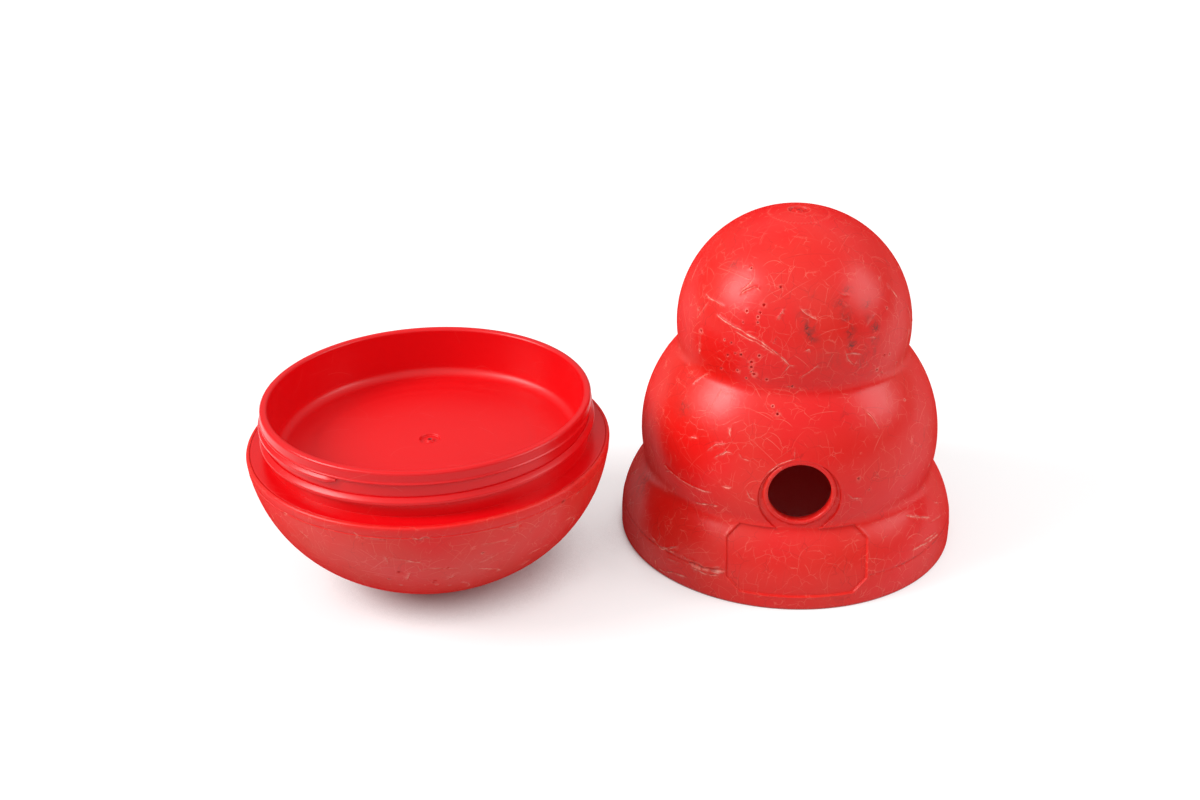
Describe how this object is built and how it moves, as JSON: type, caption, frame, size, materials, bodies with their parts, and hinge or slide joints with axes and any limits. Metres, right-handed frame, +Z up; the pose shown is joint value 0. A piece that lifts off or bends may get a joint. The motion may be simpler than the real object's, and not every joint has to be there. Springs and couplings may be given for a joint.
{
  "type": "wobble treat dispenser",
  "caption": "Red plastic wobble treat dispenser taken apart: weighted round-bottomed base with a screw cup, and a hollow lobed upper shell with a round dispensing hole.",
  "frame": {"origin": "on the floor, under the middle of the box round the two halves as they stand apart", "axes": "+Z up, +X from the base towards the upper shell, -Y the front, which the dispensing hole faces"},
  "size_m": [0.2704, 0.169, 0.1328],
  "materials": {
    "shell_plastic": "satin, scuffed and gouged",
    "bowl_plastic": "satin, lightly scuffed",
    "cup_plastic": "satin",
    "ballast": "as cast, assumed"
  },
  "bodies": {
    "base": {"outer_bowl": "bowl_plastic", "inner_cup": "cup_plastic", "ballast_weight": "ballast"},
    "shell": {"upper_shell": "shell_plastic"}
  },
  "joints": [
    {"name": "shell_lift", "type": "slide", "parent": "base", "child": "shell", "axis": [0, 0, 1], "range_m": [0, 0.085]}
  ]
}
